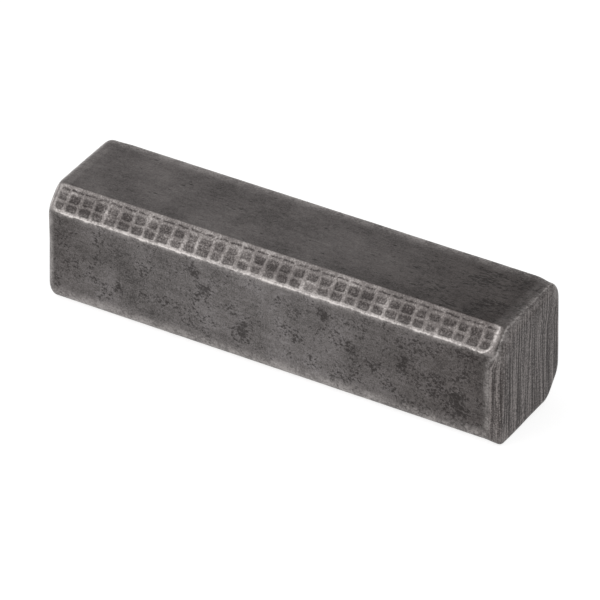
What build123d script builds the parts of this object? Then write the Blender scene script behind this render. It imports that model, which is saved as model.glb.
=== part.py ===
from build123d import *

import os
from math import radians, tan

# Parallel key: a short square bar of cold-drawn steel with two knurled chamfers.
#
# The bar lies along X on its bottom face, with its front face towards -Y. The origin is under
# the middle of the bar, on the bottom face. Two long edges, opposite each other across the
# section, are chamfered at 45 degrees: top front and bottom back. A knurling wheel has pressed a
# band of pits into each chamfer. The other two long edges keep the small radii of drawn stock.
# The bar was sheared to length against a crooked stop, so both ends are askew, parallel to each
# other in plan, and tumbling has rounded their edges.
#
# Lengths are in millimetres, angles in degrees.

# The bar
key_length = 27.2  # along the middle of the bar
key_width = 6.35  # quarter-inch square stock
key_height = 6.35
top_chamfer_leg = 1.07  # top front edge
bottom_chamfer_leg = 1.26  # bottom back edge
bottom_edge_radius = 0.55  # bottom front edge
top_edge_radius = 0.35  # top back edge

# The sheared ends
end_skew = 3.6  # turn of both cuts in plan, the same way
end_lean = 1.3  # lean of each cut inwards towards the top
end_radius = 0.85  # tumbled edge round each end, larger than the long edges' radii

# The knurl: two rows of pits and one row of thin dashes, counted from the upright face
knurl_pitch = 0.794  # from pit to pit along the bar
knurl_rib = 0.17  # land between two pits of a row
knurl_margin = 0.725  # plain length between the band and the end of the bar
low_row_width = 0.32
high_row_width = 0.43
dash_width = 0.09
row_land = 0.14  # between the two rows of pits
dash_land = 0.12  # between the upper row and the dashes
pit_depth = 0.12
dash_depth = 0.05
wall_slope = 35.0  # of a pit's walls, from upright

# What follows from them
key_middle = key_height / 2
chamfer_diagonal = Axis((0, 0, 0), (-1, 1, 0))  # sketch: bottom back corner to top front one
radius_diagonal = Axis((0, 0, 0), (0, 1, 1))  # solid: bottom front edge to top back one
blank_length = key_length + 2 * (key_width + key_height) * tan(radians(end_skew + end_lean))
band_length = key_length - 2 * knurl_margin
band_columns = round((band_length + knurl_rib) / knurl_pitch)
band_width = low_row_width + row_land + high_row_width + dash_land + dash_width
low_row_place = (low_row_width - band_width) / 2
high_row_place = low_row_place + (low_row_width + high_row_width) / 2 + row_land
dash_place = high_row_place + (high_row_width + dash_width) / 2 + dash_land


def end_plane(side):
    """Plane of one cut, its normal pointing out: side is 1 for the right end, -1 for the left."""
    skew_rise = side * tan(radians(end_skew))
    lean_rise = tan(radians(end_lean))
    return Plane((side * key_length / 2, 0, key_middle), z_dir=(side, skew_rise, lean_rise))


def chamfer_plane(side, leg):
    """Plane of one chamfer, its normal pointing out and its X along the bar.

    side is 1 for the bottom back chamfer and -1 for the top front one. The plane's Y runs from
    the bar's upright face to its flat one on both.
    """
    across = side * (key_width - leg) / 2
    up = key_middle - side * (key_height - leg) / 2
    return Plane((0, across, up), x_dir=(1, 0, 0), z_dir=(0, side, -side))


def knurl_row(plane, place, width):
    """One row of the knurl's rectangles on a chamfer: the rim of the band clips the end ones."""
    with BuildSketch(plane) as row:
        with Locations((0, place)):
            with GridLocations(knurl_pitch, 0, band_columns, 1):
                Rectangle(knurl_pitch - knurl_rib, width)
            Rectangle(band_length, width, mode=Mode.INTERSECT)
    return row.sketch


with BuildPart() as key:
    # Drawn stock, longer than the key by more than the crooked cuts take off
    with BuildSketch(Plane.YZ.offset(-blank_length / 2)) as section:
        with Locations((0, key_middle)):
            Rectangle(key_width, key_height)
        chamfer(section.vertices().sort_by(chamfer_diagonal)[-1], top_chamfer_leg)
        chamfer(section.vertices().sort_by(chamfer_diagonal)[0], bottom_chamfer_leg)
    extrude(amount=blank_length)

    # The two sheared and tumbled ends
    for end_side in (-1, 1):
        split(bisect_by=end_plane(end_side), keep=Keep.BOTTOM)
    end_faces = key.faces().sort_by(Axis.X)
    fillet(end_faces[0].edges() + end_faces[-1].edges(), end_radius)

    # The two long edges with a radius, after the larger radius of the ends that they run into
    fillet(key.edges().filter_by(Axis.X).sort_by(radius_diagonal)[0], bottom_edge_radius)
    fillet(key.edges().filter_by(Axis.X).sort_by(radius_diagonal)[-1], top_edge_radius)

    # The knurl on both chamfers
    for chamfer_side, chamfer_leg in ((-1, top_chamfer_leg), (1, bottom_chamfer_leg)):
        band_plane = chamfer_plane(chamfer_side, chamfer_leg)
        low_row = knurl_row(band_plane, low_row_place, low_row_width)
        high_row = knurl_row(band_plane, high_row_place, high_row_width)
        dashes = knurl_row(band_plane, dash_place, dash_width)
        extrude(low_row, amount=-pit_depth, taper=wall_slope, mode=Mode.SUBTRACT)
        extrude(high_row, amount=-pit_depth, taper=wall_slope, mode=Mode.SUBTRACT)
        extrude(dashes, amount=-dash_depth, taper=wall_slope, mode=Mode.SUBTRACT)

key.part.label = "key"
os.makedirs("parts", exist_ok=True)
export_step(key.part, "parts/key.step")
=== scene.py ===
"""Visual model of a parallel key: a short bar of cold-drawn steel with two knurled chamfers.

The bar is one closed mesh that stands for the CAD node `key`. It is drawn, knurled, sheared to
length and tumbled in the order of the real one: each of these is a class below that shapes the
mesh or gives the steel its finish. Sizes are in millimetres and the mesh is brought to metres at
the end.
"""

import logging
import math
import random
from bisect import bisect
from dataclasses import dataclass, field
from enum import Enum
from typing import Any, NamedTuple

import bmesh
import bpy
from bmesh.types import BMEdge, BMesh, BMFace, BMVert
from bpy.types import Material, NodeSocket, NodeTree, Object
from mathutils import Matrix, Vector, kdtree, noise


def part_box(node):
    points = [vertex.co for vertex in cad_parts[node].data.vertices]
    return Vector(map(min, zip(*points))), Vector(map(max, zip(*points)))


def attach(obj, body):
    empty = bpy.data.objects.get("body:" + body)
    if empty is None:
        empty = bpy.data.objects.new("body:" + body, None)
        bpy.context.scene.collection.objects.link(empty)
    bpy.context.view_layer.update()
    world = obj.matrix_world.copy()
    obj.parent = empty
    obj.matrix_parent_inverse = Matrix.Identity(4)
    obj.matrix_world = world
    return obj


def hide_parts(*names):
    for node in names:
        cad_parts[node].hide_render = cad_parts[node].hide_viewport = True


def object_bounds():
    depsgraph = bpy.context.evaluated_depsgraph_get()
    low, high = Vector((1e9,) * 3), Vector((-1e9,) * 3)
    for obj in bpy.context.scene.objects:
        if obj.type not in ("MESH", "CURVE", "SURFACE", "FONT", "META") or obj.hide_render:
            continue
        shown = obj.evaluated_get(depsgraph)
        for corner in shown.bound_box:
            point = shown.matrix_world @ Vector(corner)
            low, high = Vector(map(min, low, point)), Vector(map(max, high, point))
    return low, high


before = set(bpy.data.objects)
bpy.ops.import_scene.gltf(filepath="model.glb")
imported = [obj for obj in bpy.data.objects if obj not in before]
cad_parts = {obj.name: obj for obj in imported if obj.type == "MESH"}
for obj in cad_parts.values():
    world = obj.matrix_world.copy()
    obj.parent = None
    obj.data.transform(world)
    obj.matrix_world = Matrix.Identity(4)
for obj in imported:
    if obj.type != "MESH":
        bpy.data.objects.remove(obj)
CAD_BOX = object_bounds()

MM = 0.001
END_SKEW = math.tan(math.radians(3.6))  # turn of both cuts in plan
SKEW_SHOWN = 0.945  # share of it that the rounded ends leave in the overall length
NODE = "key"
BODY = "root"

log = logging.getLogger("parallel_key")


class End(Enum):
    """The two sheared ends, by the sign of X that they look to."""

    LEFT = -1
    RIGHT = 1


class Mask(Enum):
    """Vertex attributes that tell the steel which finish it has, from 0 to 1."""

    FLAT = "flat_face"  # top and bottom, against front and back
    KNURL = "knurled"
    PIT = "knurl_pit"
    SHEAR = "sheared"
    # Tumbling wear on the edges, partly a painted highlight of their rounding
    RUB_AND_SHEEN = "rubbed_and_sheen"


def smooth_step(low: float, high: float, value: float) -> float:
    """Ease from 0 to 1 as a value goes from one bound to the other.

    Args:
        low: Where the result leaves 0.
        high: Where it reaches 1, above `low` or below it.
        value: The value to ease.

    Returns:
        The eased share.
    """
    share = min(1.0, max(0.0, (value - low) / (high - low)))
    return share * share * (3 - 2 * share)


def mix(first: float, second: float, share: float) -> float:
    """Return the value that lies a share of the way from the first to the second."""
    return first + (second - first) * share


def ripple(size: float, seed: float, along: float, across: float) -> float:
    """Return smooth noise, about -1 to 1, whose waves have a size in millimetres."""
    return noise.noise(Vector((along / size, across / size, seed)))


# ---------------------------------------------------------------------------------------------
# The mesh
# ---------------------------------------------------------------------------------------------


class Row(NamedTuple):
    """One row of the knurl, by its place across the band from the flat face's side."""

    start: float
    width: float
    depth: float
    dark: float = 1.0  # how dark its pits are
    tilt: float = 0.1  # painted shade: how much darker they get towards the upright face, their deep side
    least: float = 0.4  # what the lightest press leaves of a pit


class Press(NamedTuple):
    """What the knurl does to a place: how deep it is pressed and how dark and rubbed it is."""

    depth: float
    pit: float
    # What the knurl does to a place: its depth, darkness, and wear with painted highlight.
    rub: float


@dataclass
class Knurl:
    """The band that a wheel pressed into a chamfer: two rows of pits and one of dashes."""

    pitch: float = 0.794
    rib: float = 0.14
    columns: int = 33
    half_length: float = 12.87  # from the middle of the bar to the band's rim
    corner: float = 0.36  # radius of the band's corners next to the upright face
    wall: float = 0.09  # width of a pit's worn wall in plan
    pit_corner: float = 0.11
    wander: float = 0.05  # of a rib from its even place
    shrink: float = 0.09  # of a pit's reach where the wheel hardly pressed
    width: float = 1.22
    rows: tuple[Row, ...] = (
        Row(0.00, 0.09, 0.05, 1.5, 0.0),
        Row(0.20, 0.50, 0.09, 1.0, 0.22),
        Row(0.75, 0.47, 0.09),
        Row(0.62, 0.22, 0.05, 0.9, 0.0, 0.0),  # where two pits run together
    )
    start: float = 0.215  # from the flat face's edge to the band, on the top chamfer
    # The rim's rub is partly tumbling wear and partly a painted highlight of its rounded crease
    rub_and_sheen_left: float = 0.44  # of the rim round the band's left end
    rub_and_sheen_right: float = 0.72
    rub_and_sheen_far: float = 0.88  # of the rim along the band's right part
    rub_and_sheen_shoulder: float = 0.42  # of the lands next to the rim
    ribs: list[float] = field(init=False)  # places of the lands between the columns
    pressed: list[list[float]] = field(init=False)  # how hard, by row and column

    def __post_init__(self) -> None:
        """Place the ribs and draw how deep the wheel went at each pit, from a fixed seed."""
        draw = random.Random(33)
        middle = self.columns / 2
        self.ribs = [
            (index - middle) * self.pitch + draw.uniform(-self.wander, self.wander)
            for index in range(1, self.columns)
        ]
        self.pressed = [
            [max(0.0, draw.uniform(2 * row.least - 0.4, 1.0)) for _ in range(self.columns)]
            for row in self.rows
        ]

    def outside(self, along: float, across: float) -> float:
        """Find the distance outside the band's rim, below 0 inside it.

        The rim goes round the band's ends and along the upright face, with rounded corners there.

        Args:
            along: Place along the bar.
            across: Place across the band.

        Returns:
            The distance.
        """
        past_end = abs(along) - (self.half_length - self.corner)
        past_side = across - (self.width - self.corner)
        if past_end > 0 and past_side > 0:
            return math.hypot(past_end, past_side) - self.corner
        return max(past_end, past_side) - self.corner

    def pit_share(self, number: int, along: float, across: float) -> float:
        """Find how far a place lies inside a pit of a row.

        Args:
            number: The row's number.
            along: Place along the bar.
            across: Place across the band.

        Returns:
            The share, from 0 on the lands to 1 on a floor. A pit where the wheel pressed lightly
            is smaller and shallower.
        """
        row = self.rows[number]
        column = bisect(self.ribs, along)
        left = self.ribs[column - 1] if column > 0 else -self.half_length - self.rib
        right = self.ribs[column] if column < len(self.ribs) else self.half_length + self.rib
        corner = min(self.pit_corner, row.width / 2)
        aside = abs(along - (left + right) / 2) - (right - left - self.rib) / 2 + corner
        away = abs(across - row.start - row.width / 2) - row.width / 2 + corner
        reach = math.hypot(max(aside, 0), max(away, 0)) + min(max(aside, away), 0) - corner
        wall = min(self.wall, row.width / 2)
        light = 1 - self.pressed[number][column]
        reach += self.shrink * light * smooth_step(0.1, 0.3, row.width)
        return smooth_step(0.02, -wall, reach) * mix(1.0, row.least, light)

    def press(self, along: float, across: float) -> Press:
        """Press the wheel at a place.

        Args:
            along: Place along the bar.
            across: Place across the band.

        Returns:
            The place's depth, darkness, and rub with painted highlight.
        """
        # Years of wear have bent the pits' outlines and the rim
        bent = along + 0.07 * ripple(0.50, 1.0, along, across)
        bent += 0.05 * ripple(0.17, 2.0, along, across)
        bowed = across + 0.045 * ripple(0.40, 4.0, along, across)
        bowed += 0.03 * ripple(0.15, 5.0, along, across)
        edge = self.outside(along, across) + 0.03 * ripple(0.25, 9.0, along, across)
        edge += 0.02 * ripple(0.90, 11.0, along, across)
        inside = smooth_step(0.02, -0.06, edge)
        depth = pit = 0.0
        for number, row in enumerate(self.rows):
            share = self.pit_share(number, bent, bowed) * inside
            slope = (bowed - row.start) / row.width
            depth = max(depth, row.depth * share * mix(0.6, 1.0, slope))
            # Painted shade: a pit's colour darkens towards its deep side by the upright face
            pit = max(pit, share * row.dark * mix(1 - row.tilt, 1 + row.tilt / 2, slope))
        side = self.rub_and_sheen_left if along < 0 else self.rub_and_sheen_right
        near_end = smooth_step(self.half_length - 0.2, self.half_length, abs(along))
        weight = mix(1.0, side, near_end) * mix(1.0, self.rub_and_sheen_far, smooth_step(1.0, 3.0, along))
        # The rim: wear, partly a painted highlight of the rounded crease
        rim = smooth_step(0.035, 0.075, edge) * smooth_step(mix(0.17, 0.22, near_end), 0.11, edge)
        shoulder = smooth_step(-0.09, 0.0, edge) * smooth_step(0.12, 0.06, edge)
        return Press(depth, pit, max(rim, self.rub_and_sheen_shoulder * shoulder) * weight)


class Chamfer(NamedTuple):
    """One chamfer: its leg and the sharp corner that it takes off the section."""

    leg: float
    across: float  # Y of the corner
    up: float  # Z of it

    def spot(self, across: float, up: float) -> tuple[float, float]:
        """Find a place of the section's outline on the chamfer.

        Args:
            across: Y of the place.
            up: Z of it.

        Returns:
            Its place across the chamfer from the flat face's edge, and how far it is off the
            chamfer's face.
        """
        aside = abs(self.across - across)
        away = abs(self.up - up)
        return (self.leg - aside + away) / math.sqrt(2), abs(aside + away - self.leg)

    def inward(self) -> Vector:
        """Return the direction into the bar."""
        return Vector((0, math.copysign(1, -self.across), -1 if self.up > 0 else 1)).normalized()


class EndRadii(NamedTuple):
    """Radii of the tumbled edge round one end, named by the side of the section they lie on."""

    back: float
    top_back: float
    top: float
    chamfer: float
    front: float
    bottom_front: float
    bottom: float
    bottom_back: float

    def at(self, turn: float) -> float:
        """Find the radius at a place round the end.

        Args:
            turn: Angle from the back, towards the top, in eighths of a turn.

        Returns:
            The radius, eased between those of the two sides next to it.
        """
        first = int(turn) % len(self)
        second = (first + 1) % len(self)
        return mix(self[first], self[second], smooth_step(0, 1, turn - int(turn)))


class Torn(NamedTuple):
    """How far from the cut the sheared face begins, from one place round the end to the next."""

    start: float  # in eighths of a turn, from the back towards the top
    stop: float  # where the depth is reached
    depth: float


@dataclass
class Shear:
    """The cut at one end: its crooked plane, its tumbled edge and the marks of the shear."""

    end: End
    reach: float  # from the middle of the bar to the cut, at mid height
    middle: float  # mid height of the bar
    radii: EndRadii
    corner: float  # radius of the top back edge where it runs out at this end
    lean: float  # slope of the cut, inwards towards the top
    crest: float  # how bright the front's edge is where the sheared face begins: wear and painted highlight
    torn: tuple[Torn, ...]  # in order round the end; the first one is at the back
    mark_pitch: float = 0.15
    mark_depth: float = 0.014
    mark_levels: int = 12  # parts of a score's height in the mesh

    def plane(self, across: float, up: float) -> float:
        """Return the X of the cut at a place of the section."""
        side = self.end.value
        return side * (self.reach - self.lean * (up - self.middle)) - END_SKEW * across

    def turn(self, across: float, up: float) -> float:
        """Return where a place of the outline is round the end, in eighths from the back."""
        return math.atan2(up - self.middle, across) / math.tau * 8 % 8

    def torn_depth(self, across: float, up: float) -> float:
        """Find how far from the cut the sheared face begins.

        Args:
            across: Y of a place on the section's outline.
            up: Z of it.

        Returns:
            The distance, measured on the bar next to that place.
        """
        turn = self.turn(across, up)
        depth = self.torn[0].depth
        for torn in self.torn[1:]:
            depth = mix(depth, torn.depth, smooth_step(torn.start, torn.stop, turn))
        return depth

    def rubbed_and_sheen(self, number: float, inset: float, across: float, up: float) -> float:
        """Find how worn a place near the end is, with the painted highlight of the cut's edge.

        Args:
            number: Its station, from 0 to 2.
            inset: How far it is from the cut.
            across: Its Y on the section's outline.
            up: Its Z.

        Returns:
            The rub, partly a painted highlight. It is hardest where the sheared face begins, and
            the top's lip has some too.
        """
        turn = self.turn(across, up)
        upper = smooth_step(3.7, 2.9, turn)  # 1 round the back and the top, 0 on the front
        flat = 1 - smooth_step(2.6, 2.9, turn) * smooth_step(3.4, 3.2, turn)  # 0 on the chamfer
        torn = self.torn_depth(across, up)
        # The face's rim, the crest and the top's lip: wear, partly a painted highlight
        face = 0.22 * flat * smooth_step(torn + 0.38, torn + 0.05, inset)
        face = max(face, 0.09 * upper * smooth_step(torn + 0.80, torn + 0.50, inset))
        crest = mix(self.crest, mix(0.75, 0.48, flat), upper)
        crest *= smooth_step(torn + 0.08, torn, inset)
        lip = mix(0.04, 0.22, upper) * smooth_step(1.9, 1.4, number)
        past = smooth_step(torn - 0.11, torn - 0.03, inset)
        return max(max(face, crest) * past, lip * smooth_step(torn, torn - 0.08, inset))

    def mark(self, across: float, up: float) -> float:
        """Find the depth of the blade's drag marks: fine upright scores, a little bowed.

        Args:
            across: Y of a place on the cut.
            up: Z of it.

        Returns:
            The depth.
        """
        bowed = across + 0.012 * (up - self.middle) ** 2
        seed = 3.1 * self.end.value
        fine = noise.noise(Vector((bowed / self.mark_pitch, up * 0.12, seed)))
        broad = noise.noise(Vector((bowed / 0.45, up * 0.08, seed + 4)))
        return self.mark_depth * (1 + 0.8 * fine + 0.4 * broad)


@dataclass
class DrawnBar:
    """The bar: a section with two chamfers and two drawn radii, knurled, sheared and tumbled."""

    length: float
    width: float
    height: float
    top_leg: float = 1.07
    bottom_leg: float = 1.26
    bottom_radius: float = 0.55
    top_radius: float = 0.35
    flat_crease: float = 0.07  # where a chamfer meets the top or the bottom
    upright_crease: float = 0.13  # where a chamfer meets the front or the back
    worn_crease: float = 1.1  # what the creases' radius grows to where they run out
    arc_cells: int = 6  # of the mesh, round a drawn radius
    crease_cells: int = 3
    side_cells: int = 18
    chamfer_cells: int = 30
    pitch_cells: int = 15  # along one pitch of the knurl
    zone_cells: int = 14  # along the bar, on the way to the tumbled edge
    round_cells: int = 16  # round that edge
    plain_half: float = 12.30  # stretch that the ends' rounding doesn't reach
    tip: float = 13.67  # X that the ends' outermost corners are worn back to
    tip_wear: float = 0.11  # how far short of it the wear begins
    tip_radius: float = 0.44  # of the bottom front edge, where it runs out at the right end
    front_runout: tuple[float, float] = (12.6, 13.2)  # where that radius changes along the bar
    back_runout: tuple[float, float] = (11.9, 13.2)  # and where the top back edge's does
    knurl_runout: tuple[float, float] = (13.30, 13.10)  # where the knurl's finish is tumbled off
    knurl_border: float = 0.30  # how far from a chamfer's face its finish may still reach
    sheared_loss: float = 0.6  # share of the long edges' rub and painted sheen that the cuts don't have
    knurl: Knurl = field(default_factory=Knurl)
    left: EndRadii = EndRadii(
        back=0.80, top_back=0.60, top=0.58, chamfer=0.57, front=0.66, bottom_front=0.62,
        bottom=0.85, bottom_back=0.85,
    )
    right: EndRadii = EndRadii(
        back=0.44, top_back=0.42, top=0.46, chamfer=0.64, front=0.80, bottom_front=0.40,
        bottom=0.54, bottom_back=0.52,
    )

    def build(self) -> Object:
        """Make the whole bar as one closed mesh.

        Returns:
            The object, at the origin, in metres.
        """
        bar = bmesh.new()
        self.draw_section(bar)
        self.draw_length(bar)
        masks = {mask: bar.verts.layers.float.new(mask.value) for mask in Mask}
        self.shape(bar, masks)
        self.shear_faces(bar, masks)
        self.put_in_order(bar)
        bmesh.ops.recalc_face_normals(bar, faces=bar.faces)
        for face in bar.faces:
            face.smooth = True
        bmesh.ops.scale(bar, vec=(MM, MM, MM), verts=bar.verts)
        mesh = bpy.data.meshes.new("knurled_bar")
        bar.to_mesh(mesh)
        bar.free()
        piece = bpy.data.objects.new("knurled_bar", mesh)
        bpy.context.scene.collection.objects.link(piece)
        return piece

    def chamfers(self) -> tuple[Chamfer, Chamfer]:
        """Return the top front chamfer and the bottom back one."""
        half = self.width / 2
        return Chamfer(self.top_leg, -half, self.height), Chamfer(self.bottom_leg, half, 0)

    def shear(self, end: End) -> Shear:
        """Describe the cut of one end.

        Args:
            end: Which end.

        Returns:
            Its cut.
        """
        reach, middle = self.length / 2, self.height / 2
        if end is End.LEFT:
            return Shear(
                end, reach, middle, self.left, corner=0.45, lean=0.010, crest=0.25,
                torn=(Torn(0, 0, 0.25),),
            )
        return Shear(
            end, reach, middle, self.right, corner=0.64, lean=0.0227, crest=0.08,
            torn=(Torn(0, 0, 0.34), Torn(2.6, 2.9, 0.40), Torn(3.2, 3.5, 0.85), Torn(5, 6, 0.34)),
        )

    def draw_section(self, bar: BMesh) -> None:
        """Draw the section at the left end as one face, with a vertex for each line of the mesh.

        Args:
            bar: The mesh to draw in.
        """
        half = self.width / 2
        flat = self.flat_crease * math.tan(math.radians(22.5))
        upright = self.upright_crease * math.tan(math.radians(22.5))
        corners = [
            (-half, 0, self.bottom_radius, self.arc_cells),
            (-half, self.height - self.top_leg, upright, self.crease_cells),
            (-half + self.top_leg, self.height, flat, self.crease_cells),
            (half, self.height, self.top_radius, self.arc_cells),
            (half, self.bottom_leg, upright, self.crease_cells),
            (half - self.bottom_leg, 0, flat, self.crease_cells),
        ]
        points = [bar.verts.new((0, across, up)) for across, up, _, _ in corners]
        bar.faces.new(points)
        for point, (_, _, offset, cells) in zip(points, corners):
            bmesh.ops.bevel(
                bar, geom=[point], offset=offset, offset_type="OFFSET", segments=cells,
                profile=0.5, affect="VERTICES", material=-1,
            )
        # The six long sides; the short ones belong to the rounded corners
        for edge in [edge for edge in bar.edges if edge.calc_length() > 1]:
            along = edge.verts[1].co - edge.verts[0].co
            slanted = abs(along.y) > 0.01 and abs(along.z) > 0.01
            cells = self.chamfer_cells if slanted else self.side_cells
            self.split_side(bar, edge, cells, slanted)

    def split_side(self, bar: BMesh, edge: BMEdge, cells: int, even: bool) -> None:
        """Split one side of the section.

        Args:
            bar: The mesh.
            edge: The side.
            cells: How many parts to make.
            even: Whether they are all as long, instead of shorter towards the side's corners.
        """
        start, end = (vert.co.copy() for vert in edge.verts)
        made = bmesh.ops.subdivide_edges(bar, edges=[edge], cuts=cells - 1)
        inner = [item for item in made["geom_inner"] if isinstance(item, BMVert)]
        inner.sort(key=lambda vert: (vert.co - start).length)
        for step, vert in enumerate(inner, 1):
            share = step / cells
            if not even:
                share -= 0.85 * math.sin(math.tau * share) / math.tau
            vert.co = start.lerp(end, share)

    def draw_length(self, bar: BMesh) -> None:
        """Extrude the section along X and cut the bar into its stations, one apart for now.

        Args:
            bar: The mesh, with only the section in it.
        """
        face = bar.faces[:][0]
        made = bmesh.ops.extrude_face_region(bar, geom=[face])
        moved = [item for item in made["geom"] if isinstance(item, BMVert)]
        cells = len(self.plan()) - 1
        bmesh.ops.translate(bar, vec=(cells, 0, 0), verts=moved)
        rails = [edge for edge in bar.edges if abs(edge.verts[0].co.x - edge.verts[1].co.x) > 1]
        bmesh.ops.subdivide_edges(bar, edges=rails, cuts=cells - 1, use_grid_fill=True)

    def plan(self) -> list[tuple[End | None, float]]:
        """Lay out the stations along the bar.

        Returns:
            One pair for each station: no end and its X where the bar is plain, or the end that it
            belongs to and a number: up to 1 on the way to the tumbled edge, and 1 to 2 round it.
        """
        cells = round(2 * self.plain_half / self.knurl.pitch * self.pitch_cells)
        plain = [mix(-self.plain_half, self.plain_half, step / cells) for step in range(cells + 1)]
        toward = [step / self.zone_cells for step in range(1, self.zone_cells + 1)]
        toward += [1 + step / self.round_cells for step in range(1, self.round_cells + 1)]
        left = [(End.LEFT, number) for number in reversed(toward)]
        right = [(End.RIGHT, number) for number in toward]
        return left + [(None, place) for place in plain] + right

    def shape(self, bar: BMesh, masks: dict[Mask, Any]) -> None:
        """Move each vertex from the plain prism to its place on the worn bar and mask it.

        Args:
            bar: The prism, with its stations one apart.
            masks: The mesh's attribute layers.
        """
        plan = self.plan()
        shears = {end: self.shear(end) for end in End}
        for vert in bar.verts:
            end, number = plan[round(vert.co.x)]
            across, up = vert.co.y, vert.co.z
            vert[masks[Mask.FLAT]] = self.flat_share(across, up)
            tumbled = 0.0
            if end is None:
                shear = shears[End.LEFT if number < 0 else End.RIGHT]
                across, up = self.wear_corner(shear, abs(number), across, up)
                vert.co = (number, across, up)
            else:
                shear = shears[end]
                reach = self.plain_half + 0.9 * min(number, 1.0)
                across, up = self.wear_corner(shear, reach, across, up)
                across, up = self.wear_creases(smooth_step(0.5, 1.7, number), across, up)
                vert.co, inset = self.round_end(shear, number, across, up)
                torn = shear.torn_depth(across, up)
                vert[masks[Mask.SHEAR]] = smooth_step(torn, torn - 0.09, inset)
                tumbled = shear.rubbed_and_sheen(number, inset, across, up)
            # Wear at the ends and on the long edges, partly a painted highlight of their rounding
            kept = 1 - self.sheared_loss * vert[masks[Mask.SHEAR]]
            vert[masks[Mask.RUB_AND_SHEEN]] = max(tumbled, kept * self.edge_rub_and_sheen(across, up))
            self.press_knurl(vert, across, up, masks)
            vert.co += self.wear(vert.co, across, up)

    def round_end(
        self, shear: Shear, number: float, across: float, up: float
    ) -> tuple[Vector, float]:
        """Find the place of a vertex near an end.

        Args:
            shear: The cut at that end.
            number: Its station: up to 1 on the way to the tumbled edge, and 1 to 2 round it.
            across: Y of its place on the section's outline.
            up: Z of it.

        Returns:
            The place, and how far it is from the cut.
        """
        side, toward = shear.end.value, min(1.0, number)
        radius = shear.radii.at(shear.turn(across, up))
        angle = max(0.0, number - 1) * math.pi / 2
        narrow = 1 - 2 * radius * (1 - math.cos(angle)) / self.width
        across, up = across * narrow, shear.middle + (up - shear.middle) * narrow
        inset = radius * (1 - math.sin(angle))
        cut = shear.plane(across, up) - side * inset
        start = side * self.plain_half
        inset += (1 - toward) * abs(cut - start)
        past = side * cut - (self.tip - self.tip_wear)
        if past > 0:
            cut = side * (self.tip - self.tip_wear * math.exp(-past / self.tip_wear))
        return Vector((mix(start, cut, toward), across, up)), inset

    def wear_corner(
        self, shear: Shear, reach: float, across: float, up: float
    ) -> tuple[float, float]:
        """Round the top back edge more where it runs out, and the bottom front one less.

        Args:
            shear: The cut at that end.
            reach: Distance from the middle of the bar.
            across: Y of a place on the section's outline.
            up: Z of it.

        Returns:
            The place's new Y and Z.
        """
        radius = mix(self.bottom_radius, self.tip_radius, smooth_step(*self.front_runout, reach))
        aside = self.bottom_radius - self.width / 2 - across
        below = self.bottom_radius - up
        if shear.end is End.RIGHT and aside >= 0 and below >= 0:
            scale = radius / math.hypot(aside, below)
            return radius - self.width / 2 - aside * scale, radius - below * scale
        radius = mix(self.top_radius, shear.corner, smooth_step(*self.back_runout, reach))
        aside = across - (self.width / 2 - radius)
        above = up - (self.height - radius)
        distance = math.hypot(aside, above)
        if aside <= 0 or above <= 0 or distance <= radius:
            return across, up
        scale = radius / distance
        return self.width / 2 - radius + aside * scale, self.height - radius + above * scale

    def wear_creases(self, share: float, across: float, up: float) -> tuple[float, float]:
        """Round the chamfers' creases more where they run out at an end.

        Args:
            share: How much of the full wear there is.
            across: Y of a place on the section's outline.
            up: Z of it.

        Returns:
            The place's new Y and Z.
        """
        half = self.width / 2
        creases = (
            (-half, self.height - self.top_leg), (-half + self.top_leg, self.height),
            (half, self.bottom_leg), (half - self.bottom_leg, 0),
        )
        radius = max(0.01, self.worn_crease * share)
        tangent = radius * math.tan(math.radians(22.5))
        for y, z in creases:
            away = math.hypot(across - y, up - z)
            if away < tangent:
                pull = (tangent - away) ** 2 / (2 * radius)
                inward = Vector((-y, self.height / 2 - z)).normalized() * pull
                return across + inward.x, up + inward.y
        return across, up

    def flat_share(self, across: float, up: float) -> float:
        """Return 1 on the top and bottom faces and 0 on the front and back ones."""
        level = abs(up / self.height - 0.5) - abs(across / self.width)
        return smooth_step(-0.03, 0.03, level)

    def edge_rub_and_sheen(self, across: float, up: float) -> float:
        """Find how worn the long edges are, with a painted sheen on their rounding.

        Args:
            across: Y of a place on the section's outline.
            up: Z of it.

        Returns:
            The rub and painted sheen of that place, from 0 to 1.
        """
        half = self.width / 2
        # Y and Z of each edge, its rub and painted sheen, and how far from the edge that is full
        # and gone
        edges = (
            (-half, 0, 0.25, 0.35, 1.0),
            (half, self.height, 0.32, 0.18, 1.0),
            (-half, self.height - self.top_leg, 0.20, 0.05, 0.40),
            (half, self.bottom_leg, 0.20, 0.05, 0.40),
        )
        return max(
            rub * smooth_step(far, near, math.hypot(across - y, up - z))
            for y, z, rub, near, far in edges
        )

    def press_knurl(
        self, vert: BMVert, across: float, up: float, masks: dict[Mask, Any]
    ) -> None:
        """Press the knurl into a vertex that lies on or next to a chamfer, and mask it.

        Args:
            vert: The vertex, already at its place.
            across: Its Y on the sharp section.
            up: Its Z on the sharp section.
            masks: The mesh's attribute layers.
        """
        for chamfer in self.chamfers():
            line, off = chamfer.spot(across, up)
            if off > self.knurl_border:
                continue
            start = self.knurl.start + (chamfer.leg - self.top_leg) * math.sqrt(2)
            press = self.knurl.press(vert.co.x, line - start)
            on_face = smooth_step(0.12, 0.02, off) * smooth_step(0.0, 0.06, line)
            near_end = smooth_step(*self.knurl_runout, abs(vert.co.x))
            vert.co += chamfer.inward() * press.depth * on_face
            vert[masks[Mask.KNURL]] = on_face * near_end
            vert[masks[Mask.PIT]] = press.pit * on_face
            # The knurl's rim and shoulder: wear, partly a painted highlight of the crease
            rub = press.rub * near_end * smooth_step(0.28, 0.08, off) * smooth_step(0, 0.1, line)
            vert[masks[Mask.RUB_AND_SHEEN]] = max(vert[masks[Mask.RUB_AND_SHEEN]], rub)

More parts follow.
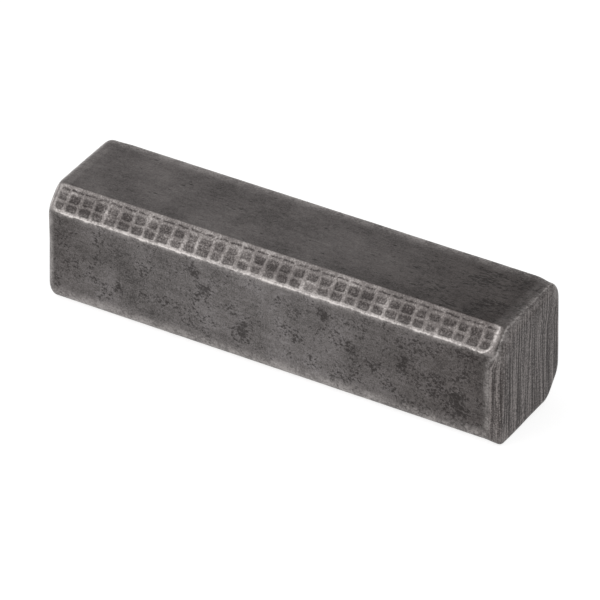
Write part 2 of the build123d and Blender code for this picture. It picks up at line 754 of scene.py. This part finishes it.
    def wear(self, place: Vector, across: float, up: float) -> Vector:
        """Dent the bar a little, always inwards.

        Args:
            place: Where the vertex is.
            across: Its Y on the sharp section.
            up: Its Z on the sharp section.

        Returns:
            The move.
        """
        inward = Vector((0, -across, self.height / 2 - up)).normalized()
        broad = 0.5 + 0.5 * noise.noise(place / 2.6)
        fine = 0.5 + 0.5 * noise.noise(place / 0.45)
        return inward * (0.012 * broad + 0.006 * fine)

    def shear_faces(self, bar: BMesh, masks: dict[Mask, Any]) -> None:
        """Cut each end face into upright strips and score them with the shear's marks.

        Args:
            bar: The shaped bar.
            masks: The mesh's attribute layers.
        """
        faces = sorted(bar.faces, key=lambda face: -len(face.verts))[:2]
        for face in sorted(faces, key=lambda face: face.calc_center_median().x):
            end = End.LEFT if face.calc_center_median().x < 0 else End.RIGHT
            shear = self.shear(end)
            region = [face]
            low = min(vert.co.y for vert in face.verts)
            high = max(vert.co.y for vert in face.verts)
            strips = round((high - low) / (shear.mark_pitch / 3))
            for step in range(1, strips):
                place = (0, mix(low, high, step / strips), 0)
                region = self.cut(bar, region, place, (0, 1, 0))
            for step in range(1, shear.mark_levels):
                place = (0, 0, self.height * step / shear.mark_levels)
                region = self.cut(bar, region, place, (0, 0, 1))
            border = {vert for face in region for vert in face.verts
                      if any(other not in region for other in vert.link_faces)}
            inner = {vert for face in region for vert in face.verts} - border
            rim = kdtree.KDTree(len(border))
            for index, vert in enumerate(border):
                vert[masks[Mask.SHEAR]] = 1
                rim.insert(vert.co, index)
            rim.balance()
            for vert in inner:
                vert[masks[Mask.SHEAR]] = 1
                away = rim.find(vert.co)[2]
                depth = shear.mark(vert.co.y, vert.co.z) * smooth_step(0.0, 0.45, away)
                vert.co.x -= end.value * depth
            ragged = [face for face in bar.faces if len(face.verts) > 4]
            bmesh.ops.triangulate(bar, faces=ragged)

    def put_in_order(self, bar: BMesh) -> None:
        """Order the mesh by place, because its operators leave another order at each run.

        Args:
            bar: The finished bar.
        """
        for rank, vert in enumerate(sorted(bar.verts, key=lambda vert: tuple(vert.co))):
            vert.index = rank
        bar.verts.sort()
        for items in (bar.edges, bar.faces):
            ranked = sorted(items, key=lambda item: sorted(vert.index for vert in item.verts))
            for rank, item in enumerate(ranked):
                item.index = rank
            items.sort()

    def cut(
        self, bar: BMesh, region: list[BMFace], place: tuple[float, float, float],
        normal: tuple[int, int, int],
    ) -> list[BMFace]:
        """Cut a region of faces with a plane.

        Args:
            bar: The mesh.
            region: The faces to cut.
            place: A point of the plane.
            normal: The plane's normal.

        Returns:
            The region's faces after the cut.
        """
        edges = list({edge for face in region for edge in face.edges})
        verts = list({vert for face in region for vert in face.verts})
        made = bmesh.ops.bisect_plane(
            bar, geom=verts + edges + region, dist=1e-5, plane_co=place, plane_no=normal,
        )
        return [item for item in made["geom"] if isinstance(item, BMFace)]


# ---------------------------------------------------------------------------------------------
# The steel
# ---------------------------------------------------------------------------------------------

Value = NodeSocket | float
WHITE = (1.0, 1.0, 1.0, 1.0)
EASED = {"interpolation_type": "SMOOTHSTEP"}  # what makes a Map Range node ease in and out


def linear(code: str) -> tuple[float, float, float, float]:
    """Turn an sRGB hex colour to linear.

    Args:
        code: The colour, such as "#6a6664".

    Returns:
        Red, green, blue and an alpha of 1.
    """
    channels = [int(code[index : index + 2], 16) / 255 for index in (1, 3, 5)]
    red, green, blue = (
        value / 12.92 if value <= 0.04045 else ((value + 0.055) / 1.055) ** 2.4
        for value in channels
    )
    return red, green, blue, 1.0


def add_node(
    tree: NodeTree, kind: str, inputs: dict[Any, Any], **settings: Any
) -> bpy.types.bpy_prop_collection:
    """Add a node with its settings and links.

    Args:
        tree: The node tree.
        kind: The node's type, without the "ShaderNode" that it starts with.
        inputs: Its inputs by name or number: a socket is linked, and anything else is a value.
        settings: Properties of the node.

    Returns:
        The node's outputs.
    """
    node = tree.nodes.new("ShaderNode" + kind)
    for name, value in settings.items():
        setattr(node, name, value)
    for name, value in inputs.items():
        if isinstance(value, NodeSocket):
            tree.links.new(value, node.inputs[name])
        else:
            node.inputs[name].default_value = value
    return node.outputs


def sum_of(tree: NodeTree, *terms: tuple[Value, Value]) -> NodeSocket:
    """Add up values, each times its weight.

    Args:
        tree: The node tree.
        terms: Pairs of a value and its weight.

    Returns:
        The sum.
    """
    total: Value = 0.0
    for value, weight in terms:
        inputs = {0: value, 1: weight, 2: total}
        total = add_node(tree, "Math", inputs, operation="MULTIPLY_ADD")["Value"]
    return total


class Grain(NamedTuple):
    """One pattern of the steel: where it lies and how coarse it is."""

    place: NodeSocket  # coordinates in metres
    size: float  # of its largest waves, mm
    detail: float = 2.0  # how many finer octaves it has
    roughness: float = 0.5  # how strong they are


def grown(tree: NodeTree, *grains: Grain) -> list[NodeSocket]:
    """Add the patterns of a finish.

    Args:
        tree: The node tree.
        grains: The patterns.

    Returns:
        Their values, each about 0.3 to 0.7.
    """
    return [
        add_node(tree, "TexNoise", {
            "Vector": grain.place, "Scale": 1 / (grain.size * MM), "Detail": grain.detail,
            "Roughness": grain.roughness,
        })["Fac"]
        for grain in grains
    ]


class Layer(NamedTuple):
    """What a finish hands to the steel: its colour, roughness and height in metres."""

    colour: Any
    roughness: Value
    height: Value

    def under(self, tree: NodeTree, upper: "Layer", share: Value) -> "Layer":
        """Lay another finish over this one.

        Args:
            tree: The material's node tree.
            upper: The other finish.
            share: How much of it there is, from 0 to 1.

        Returns:
            The blended layer.
        """
        inputs = {0: share, 6: self.colour, 7: upper.colour}
        colour = add_node(tree, "Mix", inputs, data_type="RGBA")[2]
        roughness, height = (
            add_node(tree, "Mix", {0: share, 2: below, 3: above})[0]
            for below, above in zip(self[1:], upper[1:])
        )
        return Layer(colour, roughness, height)


@dataclass(frozen=True)
class Finish:
    """A finish of the steel: a pattern that goes from dark and rough to light and smooth."""

    dark: str
    tone: str  # where the pattern is 0.5
    light: str
    spread: float  # how far from 0.5 the pattern is darkest and lightest
    sheen: float  # how far from 0.5 it is roughest and smoothest
    roughest: float
    smoothest: float

    def shaded(self, tree: NodeTree, shade: NodeSocket, *relief: tuple[Value, float]) -> Layer:
        """Colour the pattern.

        Args:
            tree: The material's node tree.
            shade: The pattern.
            relief: Pairs of a value and how high it stands, in millimetres.

        Returns:
            The finish's layer.
        """
        colour = add_node(tree, "ValToRGB", {"Fac": shade})["Color"]
        stops = colour.node.color_ramp.elements
        stops[0].position = 0.5 - self.spread
        stops[0].color = linear(self.dark)
        stops[1].position = 0.5 + self.spread
        stops[1].color = linear(self.light)
        stops.new(0.5).color = linear(self.tone)
        roughness = add_node(tree, "MapRange", {
            "Value": shade, "From Min": 0.5 - self.sheen, "From Max": 0.5 + self.sheen,
            "To Min": self.roughest, "To Max": self.smoothest,
        }, **EASED)["Result"]
        height = sum_of(tree, *((value, high * MM) for value, high in relief))
        return Layer(colour, roughness, height)


@dataclass(frozen=True)
class DrawnSkin(Finish):
    """Cold-drawn steel under a thin oxide, tumbled: matte grey, mottled, with small rust pits."""

    stretch: float  # of the pattern along the bar, by the draw
    mottle: float  # size of the mottling, mm
    lines: float  # share of the lines that the die drew along the bar
    pit: float  # size of a rust pit, mm
    pit_level: float  # noise level above which there is a pit
    dot_level: float  # the same for a lone dot
    rust: str
    speckle: float = 0.30  # share of fine grain in the mottling
    dot_gap: float = 0.24  # between two places where a lone dot may be, mm
    line_stretch: float = 25.0

    def layer(self, tree: NodeTree, place: NodeSocket, busy: NodeSocket) -> Layer:
        """Add the skin's nodes.

        Args:
            tree: The material's node tree.
            place: Object coordinates, in metres.
            busy: Where there are more rust pits, from 0 to 1.

        Returns:
            The skin's layer.
        """
        drawn, pulled = (
            add_node(tree, "Mapping", {"Vector": place, "Scale": (1 / stretch, 1, 1)})["Vector"]
            for stretch in (self.stretch, self.line_stretch)
        )
        mottle, speckle, broad, close, lines, ragged = grown(
            tree,
            Grain(drawn, self.mottle, 4.0, 0.70),
            Grain(place, 0.075, 1.0, 0.60),  # coarser than the oxide's own, which wouldn't show
            Grain(place, 2.4),
            Grain(drawn, 0.7),
            Grain(pulled, 0.16, 3.0, 0.60),  # and coarser than the die's lines
            Grain(drawn, self.pit, 3.0, 0.75),
        )
        shade = sum_of(
            tree, (mottle, 0.62 - self.speckle - self.lines), (speckle, self.speckle),
            (close, 0.10), (broad, 0.28), (lines, self.lines),
        )
        ragged = add_node(tree, "MapRange", {
            "Value": sum_of(tree, (ragged, 1.0), (close, 0.50), (busy, 0.16)),
            "From Min": self.pit_level, "From Max": self.pit_level + 0.17,
        }, **EASED)["Result"]
        cells = add_node(tree, "TexVoronoi", {"Vector": drawn, "Scale": 1 / (self.dot_gap * MM)})
        dot = add_node(tree, "MapRange", {
            "Value": cells["Distance"], "From Min": 0.34, "From Max": 0.14,
        }, **EASED)["Result"]
        chosen = add_node(tree, "MapRange", {
            "Value": sum_of(tree, (cells["Color"], 0.30), (close, 0.70), (busy, 0.10)),
            "From Min": self.dot_level, "From Max": self.dot_level + 0.04,
        }, **EASED)["Result"]
        inputs = {0: ragged, 1: sum_of(tree, (dot, chosen))}
        pitted = add_node(tree, "Math", inputs, operation="MAXIMUM")["Value"]
        skin = self.shaded(tree, shade, (shade, 0.02), (pitted, -0.015))
        inputs = {0: sum_of(tree, (pitted, 0.8)), 6: skin.colour, 7: linear(self.rust)}
        return skin._replace(colour=add_node(tree, "Mix", inputs, data_type="RGBA")[2])


@dataclass(frozen=True)
class ShearMarks(Finish):
    """Sheared steel: the blade dragged upright scores over the cut, and their crests shine."""

    pitch: float = 0.115  # of the scores, mm
    drag: float = 0.02  # of the scores' pattern upwards, against its size across
    reach: float = 13.6  # X where the pattern begins to go round the cut's edge
    wrap: float = 0.7  # how fast it goes round, against its size across
    top_wrap: float = 1.8
    top: tuple[float, float] = (4.3, 5.5)  # Z from where to where the top's wrap takes over

    def layer(self, tree: NodeTree, place: NodeSocket) -> Layer:
        """Add the nodes of the sheared faces.

        Args:
            tree: The material's node tree.
            place: Object coordinates, in metres.

        Returns:
            The layer of the sheared faces.
        """
        axes = add_node(tree, "SeparateXYZ", {"Vector": place})
        out = add_node(tree, "Math", {0: axes["X"]}, operation="ABSOLUTE")["Value"]
        wrap = add_node(tree, "MapRange", {
            "Value": axes["Z"], "From Min": self.top[0] * MM, "From Max": self.top[1] * MM,
            "To Min": self.wrap, "To Max": self.top_wrap,
        }, **EASED)["Result"]
        past = sum_of(tree, (out, 1.0), (-self.reach * MM, 1.0))
        dragged = add_node(tree, "CombineXYZ", {
            "X": sum_of(tree, (axes["Y"], 1.0), (past, wrap)),
            "Y": sum_of(tree, (axes["Z"], self.drag)),
        })["Vector"]
        scores, broad, speckle = grown(
            tree,
            Grain(dragged, self.pitch, 3.0, 0.65),
            Grain(dragged, 0.7, 1.0),
            Grain(place, 0.085, 2.0, 0.60),  # coarser than the torn grain, which wouldn't show
        )
        shade = sum_of(tree, (scores, 0.60), (broad, 0.06), (speckle, 0.34))
        return self.shaded(tree, shade, (scores, 0.018), (speckle, 0.005))


@dataclass(frozen=True)
class KnurlPress(Finish):
    """Pressed steel: the oxide stays whole in the pits, and the lands between them are scuffed."""

    def layer(self, tree: NodeTree, place: NodeSocket, pressed: NodeSocket) -> Layer:
        """Add the nodes of the knurled bands.

        Args:
            tree: The material's node tree.
            place: Object coordinates, in metres.
            pressed: 1 on the floors of the pits and 0 on the lands.

        Returns:
            The layer of the knurled bands.
        """
        # The grit of the scuffed oxide is finer, and is drawn as coarse as it needs to show
        grit, clouds = grown(tree, Grain(place, 0.09, 2.0, 0.75), Grain(place, 1.1, 3.0, 0.60))
        rough = sum_of(tree, (grit, pressed))
        shade = sum_of(
            tree, (pressed, -0.42), (rough, 0.45), (grit, 0.45), (clouds, 0.40), (1.0, 0.075),
        )
        return self.shaded(tree, shade, (grit, 0.03))


@dataclass(frozen=True)
class RubbedSteelAndSheen:
    """Edges that tumbling has worn through the oxide: bare, brighter, smoother steel, partly a
    painted highlight.
    """

    # Bright bare steel, which also paints part of the edges' highlight
    bare: str = "#e0dad7"
    roughness: float = 0.36
    least: float = 0.32  # how much of the rub shows where it is patchiest
    most: float = 1.35

    def over(self, tree: NodeTree, place: NodeSocket, finish: Layer, rub: NodeSocket) -> Layer:
        """Wear a finish through, with a painted sheen on the edges.

        Args:
            tree: The material's node tree.
            place: Object coordinates, in metres.
            finish: What is worn through.
            rub: How hard it is worn, with the painted sheen, from 0 to 1.

        Returns:
            The worn finish, with the painted sheen.
        """
        fine, broad = grown(tree, Grain(place, 0.12, 2.0, 0.60), Grain(place, 0.6))
        patchy = add_node(tree, "MapRange", {
            "Value": sum_of(tree, (fine, 0.6), (broad, 0.4)), "From Min": 0.38,
            "From Max": 0.62, "To Min": self.least, "To Max": self.most,
        }, **EASED)["Result"]
        bare = Layer(linear(self.bare), self.roughness, finish.height)
        return finish.under(tree, bare, sum_of(tree, (rub, patchy)))


class Stain(NamedTuple):
    """A patch of close rust pits on the front face, by its place and size in millimetres."""

    along: float
    up: float
    size: float


@dataclass(frozen=True)
class OxidisedSteel:
    """Low-carbon steel, drawn, knurled, sheared and tumbled, under one dark thin oxide."""

    # The front and back are duller, with more rust pits than the top and bottom
    upright: DrawnSkin = DrawnSkin(
        dark="#504d4c", tone="#6e6a69", light="#848080", spread=0.118, sheen=0.20,
        roughest=0.60, smoothest=0.44, stretch=1.3, mottle=0.26, lines=0.12, pit=0.15,
        pit_level=0.785, dot_level=0.585, rust="#383534",
    )
    level: DrawnSkin = DrawnSkin(
        dark="#555150", tone="#706b6a", light="#827d7b", spread=0.122, sheen=0.20,
        roughest=0.60, smoothest=0.44, stretch=2.2, mottle=0.20, lines=0.08, pit=0.14,
        pit_level=0.865, dot_level=0.595, rust="#403c3b",
    )
    shear: ShearMarks = ShearMarks(
        dark="#353130", tone="#4f4a49", light="#7f7977", spread=0.082, sheen=0.15,
        roughest=0.60, smoothest=0.42,
    )
    knurl: KnurlPress = KnurlPress(
        dark="#5b5655", tone="#938d8b", light="#e2dcd9", spread=0.21, sheen=0.30,
        roughest=0.62, smoothest=0.42,
    )
    # Worn bare edges, partly a painted highlight
    rubbed_and_sheen: RubbedSteelAndSheen = RubbedSteelAndSheen()
    stains: tuple[Stain, ...] = (
        Stain(-10.0, 3.2, 0.45),
        Stain(-8.9, 1.9, 0.45),
        Stain(-6.8, 3.8, 0.45),
        Stain(-4.2, 4.3, 0.60),
        Stain(-3.7, 3.4, 0.65),
        Stain(-1.6, 1.8, 0.90),
        Stain(1.7, 2.3, 0.50),
        Stain(3.3, 4.3, 0.40),
        Stain(5.0, 2.9, 0.70),
        Stain(6.3, 2.3, 0.50),
        Stain(7.9, 3.1, 0.75),
        Stain(11.3, 1.9, 0.85),
    )
    front: float = -3.175  # Y of the front face
    end_shade_start: float = 0.5  # X where the painted shade begins to get darker towards the right
    full_end_shade: float = 13.0  # X where it is darkest
    left_shade_start: float = -7.0  # X where it begins to get darker again towards the left
    kept: float = 0.82  # how much of the painted end shade the front and back get
    level_extra_shade: float = 0.12  # how much more of it the top and bottom get
    worn: float = 0.5  # how much less of it the knurl gets
    oxide: str = "#c9c5c3"  # what the painted end shade takes off the colour

    def stained(self, tree: NodeTree, place: NodeSocket) -> NodeSocket:
        """Work out where the rust pits are close.

        Args:
            tree: The material's node tree.
            place: Object coordinates, in metres.

        Returns:
            How close they are, from 0 to 1 in the middle of a stain.
        """
        total: Value = 0.0
        ragged = grown(tree, Grain(place, 0.5))[0]
        for stain in self.stains:
            centre = (stain.along * MM, self.front * MM, stain.up * MM)
            inputs = {0: place, 1: centre}
            away = add_node(tree, "VectorMath", inputs, operation="DISTANCE")["Value"]
            near = add_node(tree, "MapRange", {
                "Value": sum_of(tree, (away, 1.0), (ragged, 1.2 * MM), (-0.6 * MM, 1.0)),
                "From Min": stain.size * MM, "From Max": 0.0,
            }, **EASED)["Result"]
            total = sum_of(tree, (near, 1.0), (total, 1.0))
        return total

    def painted_end_shade(
        self, tree: NodeTree, along: NodeSocket, share: dict[Mask, NodeSocket]
    ) -> tuple[NodeSocket, NodeSocket]:
        """Work out the painted shade that darkens the steel towards both ends.

        Args:
            tree: The material's node tree.
            along: X, in metres.
            share: The masks.

        Returns:
            How dark it gets towards the right end, and how much of it shows in all.
        """
        right, left = (
            add_node(tree, "MapRange", {
                "Value": along, "From Min": start * MM, "From Max": stop * MM, "To Max": most,
            }, **EASED)["Result"]
            for start, stop, most in (
                (self.end_shade_start, self.full_end_shade, 1.0), (self.left_shade_start, -self.full_end_shade, 0.6),
            )
        )
        upright = sum_of(tree, (1.0, 1.0), (share[Mask.FLAT], -1.0))
        full_end_shade = sum_of(tree, (right, 1.0), (left, upright))
        kept = sum_of(
            tree, (self.kept, 1.0), (share[Mask.FLAT], self.level_extra_shade),
            (share[Mask.KNURL], -self.worn),
        )
        return right, sum_of(tree, (full_end_shade, kept))

    def material(self) -> Material:
        """Make the material.

        Returns:
            The material, with its patterns on Object coordinates and its masks from the mesh.
        """
        steel = bpy.data.materials.new("oxidised_drawn_steel")
        steel.use_nodes = True
        tree = steel.node_tree
        tree.nodes.clear()
        place = add_node(tree, "TexCoord", {})["Object"]
        along = add_node(tree, "SeparateXYZ", {"Vector": place})["X"]
        share = {
            mask: add_node(tree, "Attribute", {}, attribute_name=mask.value)["Fac"]
            for mask in Mask
        }
        right, painted_end_shade = self.painted_end_shade(tree, along, share)
        busy = sum_of(tree, (self.stained(tree, place), 1.0), (right, 0.35))
        surface = self.upright.layer(tree, place, busy)
        level = self.level.layer(tree, place, right)
        surface = surface.under(tree, level, share[Mask.FLAT])
        knurled = self.knurl.layer(tree, place, share[Mask.PIT])
        surface = surface.under(tree, knurled, share[Mask.KNURL])
        # Painted shade: the colour darkens towards both ends of the bar
        inputs = {0: painted_end_shade, 6: surface.colour, 7: linear(self.oxide)}
        darker = add_node(tree, "Mix", inputs, data_type="RGBA", blend_type="MULTIPLY")[2]
        surface = surface._replace(colour=darker)
        surface = surface.under(tree, self.shear.layer(tree, place), share[Mask.SHEAR])
        # Worn edges and the knurl's rim, partly a painted highlight
        surface = self.rubbed_and_sheen.over(tree, place, surface, share[Mask.RUB_AND_SHEEN])
        relief = add_node(tree, "Bump", {
            "Height": surface.height, "Strength": 0.6, "Distance": 1.0,
        })["Normal"]
        shader = add_node(tree, "BsdfPrincipled", {
            "Base Color": surface.colour, "Roughness": surface.roughness, "Metallic": 1.0,
            "Normal": relief,
        })
        add_node(tree, "OutputMaterial", {"Surface": shader["BSDF"]})
        return steel


# ---------------------------------------------------------------------------------------------
# The studio
# ---------------------------------------------------------------------------------------------


@dataclass
class Lamp:
    """A square softbox."""

    name: str
    azimuth: float  # degrees, from -Y towards +X
    elevation: float
    distance: float  # mm
    size: float  # mm
    power: float  # watts


@dataclass
class Studio:
    """A white table under soft light, and the camera."""

    azimuth: float = 32.39  # of the camera, in degrees from -Y towards +X
    elevation: float = 31.20
    roll: float = 0.11
    distance: float = 347.7
    target: Vector = field(default_factory=lambda: Vector((0.595, -0.961, 3.175)))
    lens: float = 415.4
    sensor: float = 36.0
    floor_size: float = 3000.0
    floor_gap: float = 0.01  # under the bar's bottom face
    paper: str = "#f4f4f4"
    glow: float = 1.57  # of the paper where it is seen, which lifts it to white
    glow_share: float = 0.51  # against the light that falls on it, which has the shadow
    dim: float = 0.55  # of the room above, against the horizon
    lamps: tuple[Lamp, ...] = (
        Lamp("key_softbox", -40.0, 50.0, 400.0, 260.0, 0.25),
    )

    def direction(self, azimuth: float, elevation: float) -> Vector:
        """Find the way out to a place round the object.

        Args:
            azimuth: Its azimuth in degrees, 0 being in front of the object.
            elevation: Its elevation.

        Returns:
            The direction, 1 long.
        """
        turn, rise = math.radians(azimuth), math.radians(elevation)
        flat = math.cos(rise)
        return Vector((math.sin(turn) * flat, -math.cos(turn) * flat, math.sin(rise)))

    def build(self) -> None:
        """Make the floor, the world, the lamps and the camera."""
        self.floor()
        self.world()
        for lamp in self.lamps:
            self.softbox(lamp)
        self.camera()

    def camera(self) -> None:
        """Make the camera and set it."""
        back = self.direction(self.azimuth, self.elevation)
        turn = math.radians(self.azimuth)
        right = Vector((math.cos(turn), math.sin(turn), 0))
        up = back.cross(right)
        pose = Matrix((right, up, back)).transposed().to_4x4()
        pose = Matrix.Translation((self.target + back * self.distance) * MM) @ pose
        pose = pose @ Matrix.Rotation(math.radians(self.roll), 4, "Z")
        data = bpy.data.cameras.new("camera")
        data.lens = self.lens
        data.sensor_width = self.sensor
        data.clip_start = 0.01
        camera = bpy.data.objects.new("camera", data)
        camera.matrix_world = pose
        bpy.context.scene.collection.objects.link(camera)
        bpy.context.scene.camera = camera

    def softbox(self, lamp: Lamp) -> None:
        """Make a square lamp that faces the object.

        Args:
            lamp: Its place, size and power.
        """
        data = bpy.data.lights.new(lamp.name, "AREA")
        data.size = lamp.size * MM
        data.energy = lamp.power
        out = self.direction(lamp.azimuth, lamp.elevation)
        softbox = bpy.data.objects.new(lamp.name, data)
        turned = out.to_track_quat("Z", "Y").to_matrix().to_4x4()
        softbox.matrix_world = Matrix.Translation(out * lamp.distance * MM) @ turned
        bpy.context.scene.collection.objects.link(softbox)

    def seen(self, tree: NodeTree) -> NodeSocket:
        """Work out which rays show the background: camera, glossy and transmission.

        Args:
            tree: The node tree.

        Returns:
            1 for those rays and 0 for the others.
        """
        path = add_node(tree, "LightPath", {})
        shows = path["Is Camera Ray"]
        for name in ("Is Glossy Ray", "Is Transmission Ray"):
            shows = add_node(tree, "Math", {0: shows, 1: path[name]}, operation="MAXIMUM")["Value"]
        return shows

    def floor(self) -> None:
        """Make the table of matte white paper: it shows white, with a faint shadow on it."""
        table = bmesh.new()
        half = self.floor_size / 2 * MM
        bmesh.ops.create_grid(table, x_segments=1, y_segments=1, size=half)
        level = CAD_BOX[0][2] - self.floor_gap * MM
        bmesh.ops.translate(table, vec=(0, 0, level), verts=table.verts)
        mesh = bpy.data.meshes.new("table")
        table.to_mesh(mesh)
        table.free()
        paper = bpy.data.materials.new("white_paper")
        paper.use_nodes = True
        tree = paper.node_tree
        tree.nodes.clear()
        matte = add_node(tree, "BsdfDiffuse", {"Color": linear(self.paper)})["BSDF"]
        glow = add_node(tree, "Emission", {"Color": WHITE, "Strength": self.glow})["Emission"]
        share = sum_of(tree, (self.seen(tree), self.glow_share))
        both = add_node(tree, "MixShader", {0: share, 1: matte, 2: glow})["Shader"]
        add_node(tree, "OutputMaterial", {"Surface": both})
        mesh.materials.append(paper)
        piece = bpy.data.objects.new("table", mesh)
        bpy.context.scene.collection.objects.link(piece)

    def world(self) -> None:
        """Light the room evenly, white at the horizon and dimmer above it."""
        world = bpy.data.worlds.new("white_room")
        world.use_nodes = True
        bpy.context.scene.world = world
        tree = world.node_tree
        tree.nodes.clear()
        way = add_node(tree, "TexCoord", {})["Generated"]
        rise = add_node(tree, "SeparateXYZ", {"Vector": way})["Z"]
        sky = add_node(tree, "MapRange", {
            "Value": rise, "From Min": 0.05, "From Max": 0.55, "To Min": 1.0, "To Max": self.dim,
        }, **EASED)["Result"]
        seen = add_node(tree, "LightPath", {})["Is Camera Ray"]
        strength = add_node(tree, "Math", {0: sky, 1: seen}, operation="MAXIMUM")["Value"]
        glow = add_node(tree, "Background", {"Color": WHITE, "Strength": strength})["Background"]
        add_node(tree, "OutputWorld", {"Surface": glow})


def main() -> None:
    """Build the key and its studio."""
    logging.basicConfig(level=logging.INFO, format="%(name)s: %(message)s")
    low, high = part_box(NODE)
    size = (high - low) / MM
    length = size.x - size.y * END_SKEW * SKEW_SHOWN
    bar = DrawnBar(length=length, width=size.y, height=size.z)
    piece = bar.build()
    piece.data.materials.append(OxidisedSteel().material())
    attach(piece, BODY)
    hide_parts(NODE)
    triangles = sum(len(face.vertices) - 2 for face in piece.data.polygons)
    log.info("%s: %d triangles, length %.3f mm", piece.name, triangles, bar.length)
    Studio().build()
    bpy.context.scene.view_settings.view_transform = "Standard"


if __name__ == "__main__":
    main()
